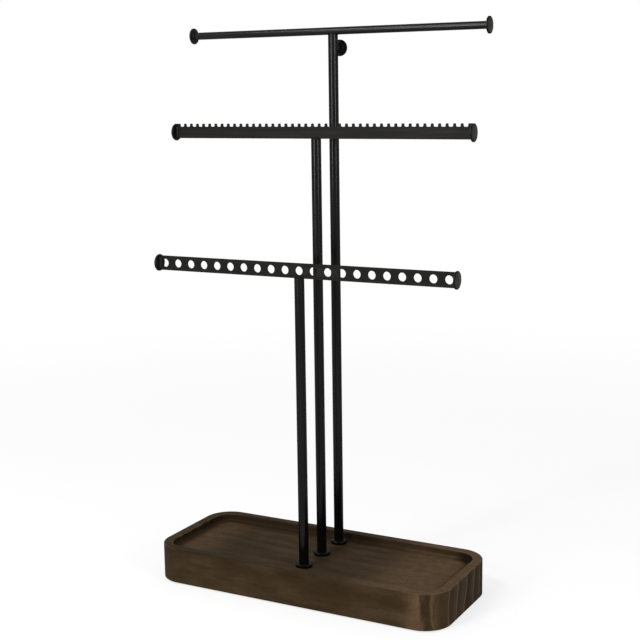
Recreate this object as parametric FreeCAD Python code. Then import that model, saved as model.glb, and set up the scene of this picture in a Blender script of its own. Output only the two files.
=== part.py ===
# Three-tier T-bar jewellery stand on a routed wooden ring tray.
#
# Millimetres. +X runs along the tray, +Y to its back, +Z up. The origin is on the resting plane,
# below the middle of the tray.
#
# Three round posts stand in a row from front to back. Each one carries a bar across its top, so it
# makes a T: a strip with round holes for earrings in front, a strip with a notched edge for
# bracelets in the middle, and a round rod for necklaces at the back. Every post is clamped on the
# tray by one screw from below, so a tee can be turned by hand about its own post.

import FreeCAD
import Part

import math
import os

from FreeCAD import Vector

# ---------------------------------------------------------------- driving dimensions, tray
TRAY_LENGTH = 263.0
TRAY_DEPTH = 107.0
TRAY_HEIGHT = 30.0
TRAY_CORNER_RADIUS = 23.0
TRAY_EDGE_ROUNDING = 0.8
RIM_WIDTH = 8.0
RECESS_DEPTH = 6.0
RECESS_FLOOR_FILLET = 2.5

# ---------------------------------------------------------------- driving dimensions, feet
FOOT_DIAMETER = 14.0
FOOT_THICKNESS = 2.5
FOOT_POCKET_DEPTH = 1.5
FOOT_POCKET_CLEARANCE = 0.2
FOOT_INSET = 22.0

# ---------------------------------------------------------------- driving dimensions, posts
POST_SPACING = 31.0
# Flat floor left between the rear flange and the rounded foot of the rear rim.
POST_ROW_SETBACK = 1.0
POST_DIAMETER = 8.0
POST_WALL = 1.0
FRONT_POST_LENGTH = 238.0
MIDDLE_POST_LENGTH = 345.5
REAR_POST_LENGTH = 428.0
COLLAR_DIAMETER = 14.0
COLLAR_THICKNESS = 3.0
COLLAR_TOP_ROUNDING = 0.5
COLLAR_UNDERCUT = 1.3
INSERT_LENGTH = 14.0
STRIP_PLUG_LENGTH = 12.0
ROD_PLUG_LENGTH = 20.0

# ---------------------------------------------------------------- driving dimensions, bars
BAR_LENGTH = 265.0
STRIP_THICKNESS = 1.5
EARRING_STRIP_HEIGHT = 12.0
EARRING_HOLE_COUNT = 21
EARRING_HOLE_PITCH = 12.7
EARRING_HOLE_DIAMETER = 6.8
BRACELET_STRIP_HEIGHT = 12.0
NOTCH_COUNT = 43
NOTCH_PITCH = 6.05
NOTCH_WIDTH = 4.0
NOTCH_DEPTH = 2.5
NOTCH_ROOT_RADIUS = 0.9
TOOTH_TIP_RADIUS = 0.7
ROD_DIAMETER = 6.0
ROD_SADDLE_DEPTH = 1.0
STUD_DIAMETER = 3.0
STUD_LENGTH = 3.0
TAB_WIDTH = 5.0
TAB_LENGTH = 8.0
WELD_LEG = 1.5

# ---------------------------------------------------------------- driving dimensions, end caps
STRIP_CAP_DIAMETER = 14.0
ROD_CAP_DIAMETER = 13.3
CAP_EDGE_THICKNESS = 1.4
CAP_EDGE_ROUNDING = 0.5
CAP_DOME_HEIGHT = 0.8
CHEEK_HEIGHT = 9.0
CHEEK_THICKNESS = 0.8
CHEEK_LENGTH = 1.5
NECK_LENGTH = 1.2
NECK_MARGIN = 0.6
NECK_FLARE = 0.3

# ---------------------------------------------------------------- driving dimensions, rear peg
PEG_DIAMETER = 6.0
PEG_REACH = 11.0
PEG_DROP = 13.0
PEG_SPIGOT_DIAMETER = 3.0
PEG_SPIGOT_DEPTH = 5.0

# ---------------------------------------------------------------- driving dimensions, fasteners
SCREW_DIAMETER = 4.0
SCREW_LENGTH = 25.0
SCREW_HEAD_DIAMETER = 8.0
SCREW_HEAD_HEIGHT = 2.6
SCREW_HEAD_ROUNDING = 1.0
SCREW_TIP_CHAMFER = 0.5
DRIVE_SLOT_LENGTH = 4.4
DRIVE_SLOT_WIDTH = 0.9
DRIVE_SLOT_DEPTH = 1.4
WASHER_DIAMETER = 10.0
WASHER_THICKNESS = 1.0
COUNTERBORE_DEPTH = 10.0

# ---------------------------------------------------------------- clearances, all per side
THREAD_CLEARANCE = 0.05
WASHER_CLEARANCE = 0.15
SCREW_HOLE_CLEARANCE = 0.25
COUNTERBORE_CLEARANCE = 1.25
PLUG_CLEARANCE = 0.02
SEAT_CLEARANCE = 0.05

# A cutting tool runs this far past the face that it opens, so no skin is left on it.
TOOL_OVERRUN = 2.0
# Two heights or radii that differ by less than this are the same one.
SAME_SIZE = 0.02

# ---------------------------------------------------------------- derived places
RIGHT = Vector(1, 0, 0)
BACK = Vector(0, 1, 0)
UP = Vector(0, 0, 1)

TRAY_BOTTOM_Z = FOOT_THICKNESS - FOOT_POCKET_DEPTH
RIM_Z = TRAY_BOTTOM_Z + TRAY_HEIGHT
FLOOR_Z = RIM_Z - RECESS_DEPTH
SEAT_Z = TRAY_BOTTOM_Z + COUNTERBORE_DEPTH

# The row of posts is placed from the rear rim, and reaches forward by two spacings.
FLAT_FLOOR_REAR_Y = TRAY_DEPTH / 2 - RIM_WIDTH - RECESS_FLOOR_FILLET
REAR_Y = FLAT_FLOOR_REAR_Y - POST_ROW_SETBACK - COLLAR_DIAMETER / 2
MIDDLE_Y = REAR_Y - POST_SPACING
FRONT_Y = MIDDLE_Y - POST_SPACING

EARRING_BOTTOM_Z = FLOOR_Z + FRONT_POST_LENGTH
BRACELET_BOTTOM_Z = FLOOR_Z + MIDDLE_POST_LENGTH
REAR_POST_TOP_Z = FLOOR_Z + REAR_POST_LENGTH
ROD_Z = REAR_POST_TOP_Z - ROD_SADDLE_DEPTH + ROD_DIAMETER / 2
PEG_Z = ROD_Z - PEG_DROP

# The caps of the earring strip sit at half its height. Those of the bracelet strip sit lower, so
# that their discs are level with the tips of its teeth.
EARRING_CAP_Z = EARRING_BOTTOM_Z + EARRING_STRIP_HEIGHT / 2
BRACELET_CAP_Z = BRACELET_BOTTOM_Z + BRACELET_STRIP_HEIGHT - STRIP_CAP_DIAMETER / 2

POST_BORE = POST_DIAMETER - 2 * POST_WALL
PLUG_DIAMETER = POST_BORE - 2 * PLUG_CLEARANCE


# ---------------------------------------------------------------- basic solids and edge choices
def cylinder(diameter, length, start, axis=UP):
    """Round solid, from the middle of its first face along its axis."""
    return Part.makeCylinder(diameter / 2, length, start, axis)


def block(size_x, size_y, size_z, bottom):
    """Box whose lower face is centred on a point."""
    return Part.makeBox(size_x, size_y, size_z, bottom - Vector(size_x / 2, size_y / 2, 0))


def upright_edges(solid):
    """Edges that run straight up."""
    return [edge for edge in solid.Edges
            if edge.BoundBox.XLength < SAME_SIZE and edge.BoundBox.YLength < SAME_SIZE]


def edges_at_height(solid, z):
    """Edges that lie wholly at one height."""
    return [edge for edge in solid.Edges
            if abs(edge.BoundBox.ZMin - z) < SAME_SIZE and abs(edge.BoundBox.ZMax - z) < SAME_SIZE]


def line_edge(start_x, start_z, end_x, end_z):
    """Straight edge in the XZ plane."""
    return Part.LineSegment(Vector(start_x, 0, start_z), Vector(end_x, 0, end_z)).toShape()


def arc_edge(centre_x, centre_z, radius, first_degrees, last_degrees):
    """Arc in the XZ plane, between two angles measured from +X towards +Z."""
    angles = (first_degrees, (first_degrees + last_degrees) / 2, last_degrees)
    points = [Vector(centre_x + radius * math.cos(math.radians(angle)), 0,
                     centre_z + radius * math.sin(math.radians(angle))) for angle in angles]
    return Part.Arc(*points).toShape()


def rounded_slab(length, depth, height, corner_radius, bottom_z):
    """Flat slab, centred on the Z axis, with its four upright corners rounded."""
    slab = block(length, depth, height, Vector(0, 0, bottom_z))
    return slab.makeFillet(corner_radius, upright_edges(slab))


# ---------------------------------------------------------------- base: tray, feet, washers
def foot_places():
    """Middles of the four feet, in the plane of the tray's underside."""
    x = TRAY_LENGTH / 2 - FOOT_INSET
    y = TRAY_DEPTH / 2 - FOOT_INSET
    return [Vector(sx * x, sy * y, TRAY_BOTTOM_Z) for sx in (-1, 1) for sy in (-1, 1)]


def make_tray():
    """Solid wooden block with a routed recess, screw holes from below and pockets for the feet."""
    tray = rounded_slab(TRAY_LENGTH, TRAY_DEPTH, TRAY_HEIGHT, TRAY_CORNER_RADIUS, TRAY_BOTTOM_Z)

    # The router leaves a round corner in plan, one rim width inside the tray's own corner,
    # and a cove where the wall meets the floor.
    recess = rounded_slab(
        TRAY_LENGTH - 2 * RIM_WIDTH,
        TRAY_DEPTH - 2 * RIM_WIDTH,
        RECESS_DEPTH + TOOL_OVERRUN,
        TRAY_CORNER_RADIUS - RIM_WIDTH,
        FLOOR_Z,
    )
    recess = recess.makeFillet(RECESS_FLOOR_FILLET, edges_at_height(recess, FLOOR_Z))
    tray = tray.cut(recess)

    # Sanded edges: both sides of the rim, and the outline of the underside.
    tray = tray.makeFillet(TRAY_EDGE_ROUNDING, edges_at_height(tray, RIM_Z))
    tray = tray.makeFillet(TRAY_EDGE_ROUNDING, edges_at_height(tray, TRAY_BOTTOM_Z))

    for y in (FRONT_Y, MIDDLE_Y, REAR_Y):
        below = Vector(0, y, TRAY_BOTTOM_Z - TOOL_OVERRUN)
        counterbore = cylinder(
            WASHER_DIAMETER + 2 * COUNTERBORE_CLEARANCE, COUNTERBORE_DEPTH + TOOL_OVERRUN, below)
        screw_hole = cylinder(
            SCREW_DIAMETER + 2 * SCREW_HOLE_CLEARANCE, TRAY_HEIGHT + 2 * TOOL_OVERRUN, below)
        tray = tray.cut([counterbore, screw_hole])

    for place in foot_places():
        pocket = cylinder(
            FOOT_DIAMETER + 2 * FOOT_POCKET_CLEARANCE,
            FOOT_POCKET_DEPTH + TOOL_OVERRUN,
            place - UP * TOOL_OVERRUN,
        )
        tray = tray.cut(pocket)
    return tray


def make_foot_pads():
    """Four rubber discs glued in the pockets of the underside, which the stand rests on."""
    pads = [cylinder(FOOT_DIAMETER, FOOT_THICKNESS, place - UP * TRAY_BOTTOM_Z)
            for place in foot_places()]
    return Part.makeCompound(pads)


def make_washers():
    """Three flat washers against the ceilings of the counterbores."""
    washers = []
    for y in (FRONT_Y, MIDDLE_Y, REAR_Y):
        bottom = Vector(0, y, SEAT_Z - WASHER_THICKNESS)
        disc = cylinder(WASHER_DIAMETER, WASHER_THICKNESS, bottom)
        washers.append(disc.cut(cylinder(SCREW_DIAMETER + 2 * WASHER_CLEARANCE, WASHER_THICKNESS, bottom)))
    return Part.makeCompound(washers)


# ---------------------------------------------------------------- foot of a tee
def make_tube(y, length):
    """Steel tube that stands on the floor of the recess."""
    foot = Vector(0, y, FLOOR_Z)
    return cylinder(POST_DIAMETER, length, foot).cut(cylinder(POST_BORE, length, foot))


def make_collar(y):
    """Round flange at the foot of a post, undercut at the wood and eased along its upper edge."""
    foot = Vector(0, y, FLOOR_Z)
    collar = cylinder(COLLAR_DIAMETER, COLLAR_THICKNESS, foot)
    collar = collar.makeFillet(COLLAR_UNDERCUT, edges_at_height(collar, FLOOR_Z))
    collar = collar.makeFillet(
        COLLAR_TOP_ROUNDING, edges_at_height(collar, FLOOR_Z + COLLAR_THICKNESS))
    return collar.cut(cylinder(POST_DIAMETER, COLLAR_THICKNESS, foot))


def make_threaded_insert(y):
    """Nut bar pressed in the lower end of the tube, tapped for the clamping screw."""
    foot = Vector(0, y, FLOOR_Z)
    bore = cylinder(SCREW_DIAMETER + 2 * THREAD_CLEARANCE, INSERT_LENGTH, foot)
    return cylinder(PLUG_DIAMETER, INSERT_LENGTH, foot).cut(bore)


def make_screw(y):
    """Pan-head machine screw that pulls the post down on the tray from below."""
    head_top = Vector(0, y, SEAT_Z - WASHER_THICKNESS)
    head_bottom = head_top - UP * SCREW_HEAD_HEIGHT
    head = cylinder(SCREW_HEAD_DIAMETER, SCREW_HEAD_HEIGHT, head_bottom)
    head = head.makeFillet(SCREW_HEAD_ROUNDING, edges_at_height(head, head_bottom.z))
    for size_x, size_y in ((DRIVE_SLOT_LENGTH, DRIVE_SLOT_WIDTH), (DRIVE_SLOT_WIDTH, DRIVE_SLOT_LENGTH)):
        head = head.cut(block(size_x, size_y, DRIVE_SLOT_DEPTH, head_bottom))
    shank = cylinder(SCREW_DIAMETER, SCREW_LENGTH, head_top)
    shank = shank.makeChamfer(SCREW_TIP_CHAMFER, edges_at_height(shank, head_top.z + SCREW_LENGTH))
    return head.fuse(shank).removeSplitter()


def make_weld_bead(y, top_z, bar):
    """Bead on the end of the tube, in the corners in front of the bar and behind it."""
    bead = Part.makeCone(
        POST_DIAMETER / 2, POST_DIAMETER / 2 - WELD_LEG, WELD_LEG, Vector(0, y, top_z))
    return bead.cut(bar)


# ---------------------------------------------------------------- tee with a flat strip
def strip_blank(y, bottom_z, height):
    """Flat strip on edge, with a tab below its middle that drops into the post."""
    strip = block(BAR_LENGTH, STRIP_THICKNESS, height, Vector(0, y, bottom_z))
    tab = block(TAB_WIDTH, STRIP_THICKNESS, TAB_LENGTH, Vector(0, y, bottom_z - TAB_LENGTH))
    return strip.fuse(tab).removeSplitter()


def make_strip_plug(y, top_z):
    """Plug in the upper end of the tube, slotted for the tab of the strip."""
    plug = cylinder(PLUG_DIAMETER, STRIP_PLUG_LENGTH, Vector(0, y, top_z - STRIP_PLUG_LENGTH))
    slot_depth = TAB_LENGTH + SEAT_CLEARANCE
    slot = block(
        TAB_WIDTH + 2 * SEAT_CLEARANCE,
        STRIP_THICKNESS + 2 * SEAT_CLEARANCE,
        slot_depth,
        Vector(0, y, top_z - slot_depth),
    )
    return plug.cut(slot)


def make_earring_bar():
    """Front strip: round holes at one pitch, with the middle hole over the post."""
    strip = strip_blank(FRONT_Y, EARRING_BOTTOM_Z, EARRING_STRIP_HEIGHT)
    middle = (EARRING_HOLE_COUNT - 1) / 2
    front_face_y = FRONT_Y - STRIP_THICKNESS / 2
    holes = []
    for i in range(EARRING_HOLE_COUNT):
        x = (i - middle) * EARRING_HOLE_PITCH
        start = Vector(x, front_face_y - TOOL_OVERRUN, EARRING_BOTTOM_Z + EARRING_STRIP_HEIGHT / 2)
        holes.append(cylinder(EARRING_HOLE_DIAMETER, STRIP_THICKNESS + 2 * TOOL_OVERRUN, start, BACK))
    return strip.cut(holes)


def notch_edges(middle_x, top_z):
    """Outline of one notch in the XZ plane, from the tip of its left tooth to its right one."""
    root_z = top_z - NOTCH_DEPTH
    left_x = middle_x - NOTCH_WIDTH / 2
    right_x = middle_x + NOTCH_WIDTH / 2
    tip_z = top_z - TOOTH_TIP_RADIUS
    bend_z = root_z + NOTCH_ROOT_RADIUS
    return [
        arc_edge(left_x - TOOTH_TIP_RADIUS, tip_z, TOOTH_TIP_RADIUS, 90, 0),
        line_edge(left_x, tip_z, left_x, bend_z),
        arc_edge(left_x + NOTCH_ROOT_RADIUS, bend_z, NOTCH_ROOT_RADIUS, 180, 270),
        line_edge(left_x + NOTCH_ROOT_RADIUS, root_z, right_x - NOTCH_ROOT_RADIUS, root_z),
        arc_edge(right_x - NOTCH_ROOT_RADIUS, bend_z, NOTCH_ROOT_RADIUS, 270, 360),
        line_edge(right_x, bend_z, right_x, tip_z),
        arc_edge(right_x + TOOTH_TIP_RADIUS, tip_z, TOOTH_TIP_RADIUS, 180, 90),
    ]


def make_bracelet_bar():
    """Middle strip: a row of notches in its upper edge keeps bracelets apart."""
    strip = strip_blank(MIDDLE_Y, BRACELET_BOTTOM_Z, BRACELET_STRIP_HEIGHT)
    middle = (NOTCH_COUNT - 1) / 2
    top_z = BRACELET_BOTTOM_Z + BRACELET_STRIP_HEIGHT
    over_z = top_z + TOOL_OVERRUN
    edge_offset = NOTCH_WIDTH / 2 + TOOTH_TIP_RADIUS

    # One comb-shaped cutter makes the whole row: notch outlines, joined by the tops of the teeth.
    outline = []
    for i in range(NOTCH_COUNT):
        x = (i - middle) * NOTCH_PITCH
        if outline:
            outline.append(line_edge(x - NOTCH_PITCH + edge_offset, top_z, x - edge_offset, top_z))
        outline.extend(notch_edges(x, top_z))
    end_x = middle * NOTCH_PITCH + edge_offset
    outline.append(line_edge(end_x, top_z, end_x, over_z))
    outline.append(line_edge(end_x, over_z, -end_x, over_z))
    outline.append(line_edge(-end_x, over_z, -end_x, top_z))

    cutter = Part.Face(Part.Wire(outline)).extrude(BACK * (STRIP_THICKNESS + 2 * TOOL_OVERRUN))
    cutter.translate(BACK * (MIDDLE_Y - STRIP_THICKNESS / 2 - TOOL_OVERRUN))
    return strip.cut(cutter)


# ---------------------------------------------------------------- tee with a round rod
def rod_blank():
    """Round rod across the top of the rear post, before it is drilled."""
    return cylinder(ROD_DIAMETER, BAR_LENGTH, Vector(-BAR_LENGTH / 2, REAR_Y, ROD_Z), RIGHT)


def stud(clearance):
    """Upright stud that locates the rod on its post, or its hole when given a clearance."""
    rod_bottom_z = ROD_Z - ROD_DIAMETER / 2
    start = Vector(0, REAR_Y, rod_bottom_z - ROD_SADDLE_DEPTH)
    length = ROD_SADDLE_DEPTH + STUD_LENGTH + clearance
    return cylinder(STUD_DIAMETER + 2 * clearance, length, start)


def spigot(clearance):
    """Thin inner end of the rear peg, or its cross hole when given a clearance."""
    start = Vector(0, REAR_Y + POST_DIAMETER / 2 - PEG_SPIGOT_DEPTH - clearance, PEG_Z)
    return cylinder(
        PEG_SPIGOT_DIAMETER + 2 * clearance, PEG_SPIGOT_DEPTH + POST_DIAMETER / 2, start, BACK)


def make_rear_post():
    """Tallest tube, with a saddle for the rod in its upper end and a cross hole for the peg."""
    tube = make_tube(REAR_Y, REAR_POST_LENGTH)
    return tube.cut([rod_blank(), spigot(SEAT_CLEARANCE)])


def make_rod_plug():
    """Plug in the upper end of the rear tube, with the stud for the rod and the peg's hole."""
    plug = cylinder(PLUG_DIAMETER, ROD_PLUG_LENGTH, Vector(0, REAR_Y, REAR_POST_TOP_Z - ROD_PLUG_LENGTH))
    plug = plug.cut(rod_blank()).fuse(stud(0)).removeSplitter()
    return plug.cut(spigot(SEAT_CLEARANCE))


def make_necklace_bar():
    """Rear rod, drilled from below for the stud."""
    return rod_blank().cut(stud(SEAT_CLEARANCE))


def make_rear_peg():
    """Short peg behind the rear post, saddled on the tube and held by its spigot."""
    start = Vector(0, REAR_Y, PEG_Z)
    peg = cylinder(PEG_DIAMETER, PEG_REACH, start, BACK)
    peg = peg.cut(cylinder(POST_DIAMETER, 2 * PEG_DIAMETER, start - UP * PEG_DIAMETER))
    return peg.fuse(spigot(0)).removeSplitter()


# ---------------------------------------------------------------- end caps
def cap_blank(diameter, back):
    """Turned button, its axis along +Z and the back of its disc at the origin.

    The back is a list of radii and heights, from the axis outwards to the flat of the disc.
    """
    radius = diameter / 2
    flat_radius = radius - CAP_EDGE_ROUNDING
    upper_z = CAP_EDGE_THICKNESS - CAP_EDGE_ROUNDING
    tip_z = CAP_EDGE_THICKNESS + CAP_DOME_HEIGHT

    # The dome is an arc of the sphere through the disc's rounded edge, level at its tip.
    sphere_radius = (flat_radius ** 2 + CAP_DOME_HEIGHT ** 2) / (2 * CAP_DOME_HEIGHT)
    dome_start = math.degrees(math.acos(flat_radius / sphere_radius))

    stops = back + [(flat_radius, 0)]
    profile = [line_edge(*start, *end) for start, end in zip(stops, stops[1:])]
    profile += [
        arc_edge(flat_radius, CAP_EDGE_ROUNDING, CAP_EDGE_ROUNDING, -90, 0),
        line_edge(radius, CAP_EDGE_ROUNDING, radius, upper_z),
        arc_edge(flat_radius, upper_z, CAP_EDGE_ROUNDING, 0, 90),
        arc_edge(0, tip_z - sphere_radius, sphere_radius, dome_start, 90),
        line_edge(0, tip_z, *back[0]),
    ]
    return Part.Face(Part.Wire(profile)).revolve(Vector(0, 0, 0), UP, 360)


def place_cap(cap, seat, outward):
    """Turn a cap so that its dome looks outward, and seat its disc on the end of a bar."""
    placed = cap.copy()
    placed.Placement = FreeCAD.Placement(seat, FreeCAD.Rotation(UP, outward))
    return placed


def strip_caps(y, z, bar):
    """Left and right cap of a strip.

    The end of the strip stands on the back of the disc, between two cheeks that grip its faces.
    """
    blank = cap_blank(STRIP_CAP_DIAMETER, [(0, 0)])
    caps = []
    for side in (-1, 1):
        seat = Vector(side * BAR_LENGTH / 2, y, z)
        cheeks = block(
            CHEEK_LENGTH,
            STRIP_THICKNESS + 2 * CHEEK_THICKNESS,
            CHEEK_HEIGHT,
            seat - RIGHT * side * CHEEK_LENGTH / 2 - UP * CHEEK_HEIGHT / 2,
        )
        caps.append(place_cap(blank, seat, RIGHT * side).fuse(cheeks).cut(bar).removeSplitter())
    return caps


def rod_cap(diameter, seat, outward, rod):
    """Cap on the end of a round rod. Its neck is bored for the rod and flares into the disc."""
    neck_radius = diameter / 2 + NECK_MARGIN
    blank = cap_blank(ROD_CAP_DIAMETER, [
        (0, -NECK_LENGTH), (neck_radius, -NECK_LENGTH), (neck_radius + NECK_FLARE, 0)])
    return place_cap(blank, seat, outward).cut(rod)


# ---------------------------------------------------------------- assembly
def make_nodes():
    """Every separate piece under its own name."""
    nodes = {"tray": make_tray(), "foot_pads": make_foot_pads(), "base_washers": make_washers()}

    for name, y in (("front", FRONT_Y), ("middle", MIDDLE_Y), ("rear", REAR_Y)):
        nodes[name + "_collar"] = make_collar(y)
        nodes[name + "_threaded_insert"] = make_threaded_insert(y)
        nodes[name + "_screw"] = make_screw(y)

    nodes["front_post"] = make_tube(FRONT_Y, FRONT_POST_LENGTH)
    nodes["front_top_plug"] = make_strip_plug(FRONT_Y, EARRING_BOTTOM_Z)
    nodes["earring_bar"] = make_earring_bar()
    nodes["front_weld_bead"] = make_weld_bead(FRONT_Y, EARRING_BOTTOM_Z, nodes["earring_bar"])
    nodes["earring_bar_left_cap"], nodes["earring_bar_right_cap"] = strip_caps(
        FRONT_Y, EARRING_CAP_Z, nodes["earring_bar"])

    nodes["middle_post"] = make_tube(MIDDLE_Y, MIDDLE_POST_LENGTH)
    nodes["middle_top_plug"] = make_strip_plug(MIDDLE_Y, BRACELET_BOTTOM_Z)
    nodes["bracelet_bar"] = make_bracelet_bar()
    nodes["middle_weld_bead"] = make_weld_bead(MIDDLE_Y, BRACELET_BOTTOM_Z, nodes["bracelet_bar"])
    nodes["bracelet_bar_left_cap"], nodes["bracelet_bar_right_cap"] = strip_caps(
        MIDDLE_Y, BRACELET_CAP_Z, nodes["bracelet_bar"])

    nodes["rear_post"] = make_rear_post()
    nodes["rear_top_plug"] = make_rod_plug()
    nodes["necklace_bar"] = make_necklace_bar()
    nodes["rear_weld_bead"] = make_weld_bead(REAR_Y, REAR_POST_TOP_Z, rod_blank())
    for side, name in ((-1, "left"), (1, "right")):
        seat = Vector(side * BAR_LENGTH / 2, REAR_Y, ROD_Z)
        nodes["necklace_bar_" + name + "_cap"] = rod_cap(
            ROD_DIAMETER, seat, RIGHT * side, nodes["necklace_bar"])

    nodes["rear_peg"] = make_rear_peg()
    nodes["rear_peg_cap"] = rod_cap(
        PEG_DIAMETER, Vector(0, REAR_Y + PEG_REACH, PEG_Z), BACK, nodes["rear_peg"])
    return nodes


os.makedirs("parts", exist_ok=True)
for node, shape in make_nodes().items():
    if not shape.isValid():
        raise ValueError(node + " is not a valid shape")
    shape.exportStep("parts/" + node + ".step")
    print(f"{node:26s} {len(shape.Solids)} solid(s) {shape.Volume:10.1f} mm3")
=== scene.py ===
# %% [markdown]
# # Dressing a three-tier jewellery stand
#
# The stand is a stained wooden ring tray with three round steel posts on it. Each post carries a
# bar, so it makes a T: a strip with round holes in front, a strip with notches in the middle and a
# plain rod at the back. All the steel above the tray has a black powder coat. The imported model
# gives every piece its size and place, and this lesson gives each of them the shape and finish that
# show in a close view.
#
# The first cell loads that model. Its pieces stay where they are, and what is made here is placed
# from their boxes, so nothing has to be lined up by eye.

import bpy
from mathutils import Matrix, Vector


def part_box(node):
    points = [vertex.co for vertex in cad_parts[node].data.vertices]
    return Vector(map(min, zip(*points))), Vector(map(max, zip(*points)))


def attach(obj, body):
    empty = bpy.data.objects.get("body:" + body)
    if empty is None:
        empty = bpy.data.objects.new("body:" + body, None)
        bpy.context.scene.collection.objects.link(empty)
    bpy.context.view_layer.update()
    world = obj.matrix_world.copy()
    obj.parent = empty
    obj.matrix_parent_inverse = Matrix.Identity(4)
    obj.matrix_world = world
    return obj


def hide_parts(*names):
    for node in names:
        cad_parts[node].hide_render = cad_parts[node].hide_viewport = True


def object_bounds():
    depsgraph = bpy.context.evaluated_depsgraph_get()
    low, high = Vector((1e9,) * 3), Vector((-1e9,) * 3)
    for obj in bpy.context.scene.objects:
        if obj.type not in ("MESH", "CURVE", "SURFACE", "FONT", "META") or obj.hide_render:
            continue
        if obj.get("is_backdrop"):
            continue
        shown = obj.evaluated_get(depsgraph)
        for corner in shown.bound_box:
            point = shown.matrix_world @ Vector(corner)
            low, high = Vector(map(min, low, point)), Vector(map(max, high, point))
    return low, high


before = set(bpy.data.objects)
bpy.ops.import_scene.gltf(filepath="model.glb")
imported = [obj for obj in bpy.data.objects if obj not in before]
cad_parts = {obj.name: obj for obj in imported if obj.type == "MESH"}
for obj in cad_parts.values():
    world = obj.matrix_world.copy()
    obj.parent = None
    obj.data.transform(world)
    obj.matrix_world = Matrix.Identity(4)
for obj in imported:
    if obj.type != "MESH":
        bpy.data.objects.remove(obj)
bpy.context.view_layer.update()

# %% Imports and units
import math
from types import SimpleNamespace

import bmesh
import bpy
from mathutils import Matrix, Vector

MM = 0.001

# %% [markdown]
# ## Writing nodes as expressions
#
# A material or a Geometry Nodes tree is a small program. Clicked together by hand, its sums are
# hard to read. Here a socket is wrapped in a class that knows the arithmetic signs, so that a sum
# in Python adds its Math nodes to the tree. Every other node comes from one method: it takes the
# node's type, then its settings, then the values or links of its sockets.

# %% One class for a socket, one for a tree
class Wire:
    """An output socket that can be used in Python arithmetic."""

    def __init__(self, writer, socket):
        self.writer = writer
        self.socket = socket

    def __getitem__(self, name):
        return Wire(self.writer, find_socket(self.socket.node.outputs, name))

    def _sum(self, operation, first, second=0.0):
        return self.writer.make("ShaderNodeMath", {"operation": operation}, {0: first, 1: second})

    def __add__(self, other):
        return self._sum("ADD", self, other)

    def __radd__(self, other):
        return self._sum("ADD", other, self)

    def __sub__(self, other):
        return self._sum("SUBTRACT", self, other)

    def __rsub__(self, other):
        return self._sum("SUBTRACT", other, self)

    def __mul__(self, other):
        return self._sum("MULTIPLY", self, other)

    def __rmul__(self, other):
        return self._sum("MULTIPLY", other, self)

    def __truediv__(self, other):
        return self._sum("DIVIDE", self, other)

    def __mod__(self, other):
        return self._sum("FLOORED_MODULO", self, other)

    def __gt__(self, other):
        return self._sum("GREATER_THAN", self, other)

    def __lt__(self, other):
        return self._sum("LESS_THAN", self, other)

    def __abs__(self):
        return self._sum("ABSOLUTE", self)

    def floor(self):
        return self._sum("FLOOR", self)

    def root(self):
        return self._sum("SQRT", self)

    def least(self, other):
        return self._sum("MINIMUM", self, other)

    def most(self, other):
        return self._sum("MAXIMUM", self, other)

    def fade(self, start, end):
        """0 at start and 1 at end, eased at both."""
        settings = {"interpolation_type": "SMOOTHSTEP"}
        inputs = {"Value": self, "From Min": start, "From Max": end}
        return self.writer.make("ShaderNodeMapRange", settings, inputs)

    def band(self, rise, drop):
        """1 between two fades, a rise and a drop, and 0 outside them."""
        return self.fade(*rise) * (1.0 - self.fade(*drop))


def find_socket(sockets, key):
    """A socket by its number, by its name among those in use, or by its identifier."""
    if isinstance(key, int):
        return sockets[key]
    for socket in sockets:
        if socket.enabled and socket.name == key:
            return socket
    return next(socket for socket in sockets if socket.identifier == key)


class Writer:
    """Writes nodes into one tree."""

    def __init__(self, tree):
        self.tree = tree

    def make(self, kind, settings=None, inputs=None):
        """Adds a node: settings first, then sockets. Returns the wire of its first output."""
        node = self.tree.nodes.new(kind)
        for name, value in (settings or {}).items():
            setattr(node, name, value)
        for key, value in (inputs or {}).items():
            for item in value if isinstance(value, list) else [value]:
                socket = find_socket(node.inputs, key)
                if isinstance(item, Wire):
                    self.tree.links.new(item.socket, socket)
                else:
                    socket.default_value = item
        outputs = [socket for socket in node.outputs if socket.enabled]
        return Wire(self, outputs[0]) if outputs else None

    def vector(self, operation, first, second):
        """One step of vector arithmetic."""
        return self.make("ShaderNodeVectorMath", {"operation": operation}, {0: first, 1: second})

    def split(self, vector):
        """The three parts of a vector."""
        parts = self.make("ShaderNodeSeparateXYZ", {}, {"Vector": vector})
        return parts["X"], parts["Y"], parts["Z"]

    def colour_mix(self, factor, first, second, blend="MIX"):
        """A colour between two others, or one laid over the other."""
        settings = {"data_type": "RGBA", "blend_type": blend, "clamp_factor": True}
        return self.make("ShaderNodeMix", settings, {"Factor": factor, "A": first, "B": second})

    def noise(self, place, stretch, detail=2.0, roughness=0.5):
        """Cloudy noise. Stretch gives its features per millimetre along each axis."""
        stretched = self.vector("MULTIPLY", place, stretch)
        inputs = {"Vector": stretched, "Scale": 1.0, "Detail": detail, "Roughness": roughness}
        return self.make("ShaderNodeTexNoise", {"noise_dimensions": "3D"}, inputs)


# %% [markdown]
# Every finish starts the same way: an empty material, the place of a point in millimetres, and at
# the end a Principled shader. Object coordinates are used, because a finish then sits in the piece
# like real grain and stays put when a tee is turned.

# %% Start and close a material
def empty_tree(owner):
    """Clears the nodes of a material or a world. Returns the writer of its tree."""
    owner.use_nodes = True
    owner.node_tree.nodes.clear()
    return Writer(owner.node_tree)


def new_material(name):
    """An empty material, its writer, and the place of a point on the piece in millimetres."""
    material = bpy.data.materials.new(name)
    writer = empty_tree(material)
    place = writer.make("ShaderNodeTexCoord")["Object"]
    return material, writer, writer.vector("MULTIPLY", place, (1 / MM, 1 / MM, 1 / MM))


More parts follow.
